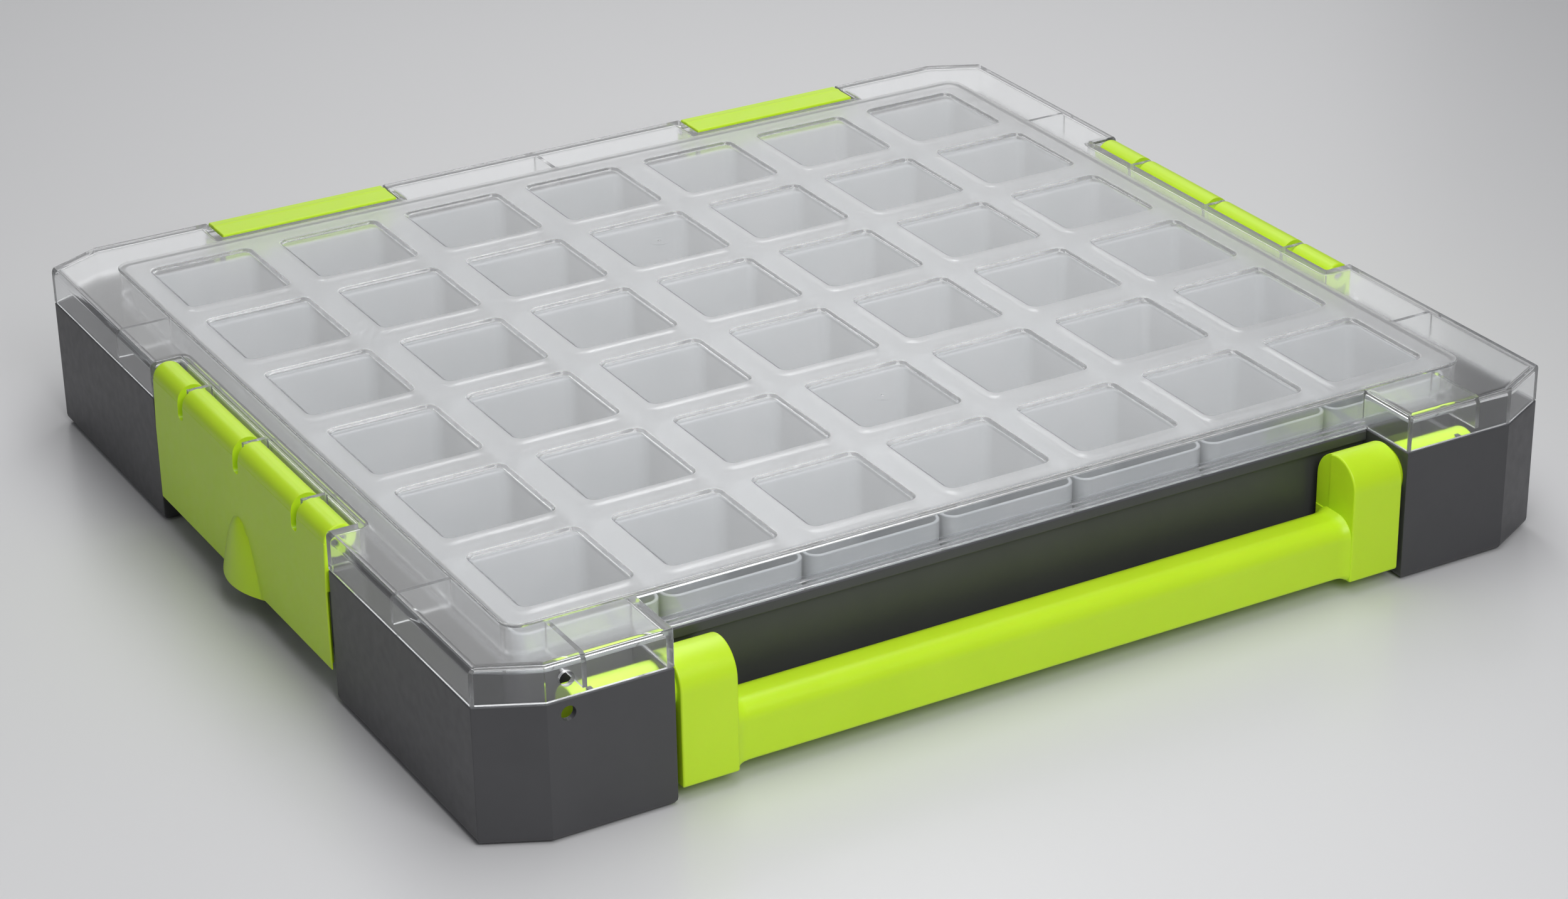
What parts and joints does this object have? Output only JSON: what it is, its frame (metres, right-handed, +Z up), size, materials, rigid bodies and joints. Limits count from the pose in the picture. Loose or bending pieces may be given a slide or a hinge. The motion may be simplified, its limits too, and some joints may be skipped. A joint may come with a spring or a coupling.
{
  "type": "fishing tackle box",
  "caption": "Shallow tackle case: dark tray with a grid of loose cups, clear hinged lid with sunk panes, lime side latches, rear hinge clips and a folding carry handle.",
  "frame": {"origin": "centre of the case's overall footprint, on the surface that it stands on", "axes": "+X to the right seen from the handle side, +Y from the handle towards the rear hinges, +Z up through the lid"},
  "size_m": [0.4114, 0.367, 0.0616],
  "materials": {
    "grey_plastic": "fine moulded satin, dark grey polypropylene",
    "lime_plastic": "satin lime green polypropylene",
    "clear_plastic": "polished clear polycarbonate",
    "milky_plastic": "frosted translucent polypropylene",
    "pin_steel": "drawn steel wire"
  },
  "bodies": {
    "tray": {"body_tray": "grey_plastic", "hinge_clip_left": "lime_plastic", "hinge_clip_right": "lime_plastic", "hinge_pin_left": "pin_steel", "hinge_pin_right": "pin_steel", "cup_r1_c1": "milky_plastic", "cup_r1_c2": "milky_plastic", "cup_r1_c3": "milky_plastic", "cup_r1_c4": "milky_plastic", "cup_r1_c5": "milky_plastic", "cup_r1_c6": "milky_plastic", "cup_r1_c7": "milky_plastic", "cup_r2_c1": "milky_plastic", "cup_r2_c2": "milky_plastic", "cup_r2_c3": "milky_plastic", "cup_r2_c4": "milky_plastic", "cup_r2_c5": "milky_plastic", "cup_r2_c6": "milky_plastic", "cup_r2_c7": "milky_plastic", "cup_r3_c1": "milky_plastic", "cup_r3_c2": "milky_plastic", "cup_r3_c3": "milky_plastic", "cup_r3_c4": "milky_plastic", "cup_r3_c5": "milky_plastic", "cup_r3_c6": "milky_plastic", "cup_r3_c7": "milky_plastic", "cup_r4_c1": "milky_plastic", "cup_r4_c2": "milky_plastic", "cup_r4_c3": "milky_plastic", "cup_r4_c4": "milky_plastic", "cup_r4_c5": "milky_plastic", "cup_r4_c6": "milky_plastic", "cup_r4_c7": "milky_plastic", "cup_r5_c1": "milky_plastic", "cup_r5_c2": "milky_plastic", "cup_r5_c3": "milky_plastic", "cup_r5_c4": "milky_plastic", "cup_r5_c5": "milky_plastic", "cup_r5_c6": "milky_plastic", "cup_r5_c7": "milky_plastic", "cup_r6_c1": "milky_plastic", "cup_r6_c2": "milky_plastic", "cup_r6_c3": "milky_plastic", "cup_r6_c4": "milky_plastic", "cup_r6_c5": "milky_plastic", "cup_r6_c6": "milky_plastic", "cup_r6_c7": "milky_plastic"},
    "lid": {"lid": "clear_plastic", "latch_pin_left": "pin_steel", "latch_pin_right": "pin_steel"},
    "handle": {"handle": "lime_plastic"},
    "latch_left": {"latch_left": "lime_plastic"},
    "latch_right": {"latch_right": "lime_plastic"}
  },
  "joints": [
    {"name": "lid_hinge", "type": "hinge", "parent": "tray", "child": "lid", "pos_m": [0, 0.179, 0.057], "axis": [-1, 0, 0], "range_deg": [0, 105]},
    {"name": "handle_pivot", "type": "hinge", "parent": "tray", "child": "handle", "pos_m": [0, -0.1732, 0.0375], "axis": [-1, 0, 0], "range_deg": [0, 180]},
    {"name": "latch_left_pivot", "type": "hinge", "parent": "lid", "child": "latch_left", "pos_m": [-0.1948, 0.002, 0.056], "axis": [0, 1, 0], "range_deg": [0, 100]},
    {"name": "latch_right_pivot", "type": "hinge", "parent": "lid", "child": "latch_right", "pos_m": [0.1948, 0.002, 0.056], "axis": [0, -1, 0], "range_deg": [0, 100]}
  ]
}
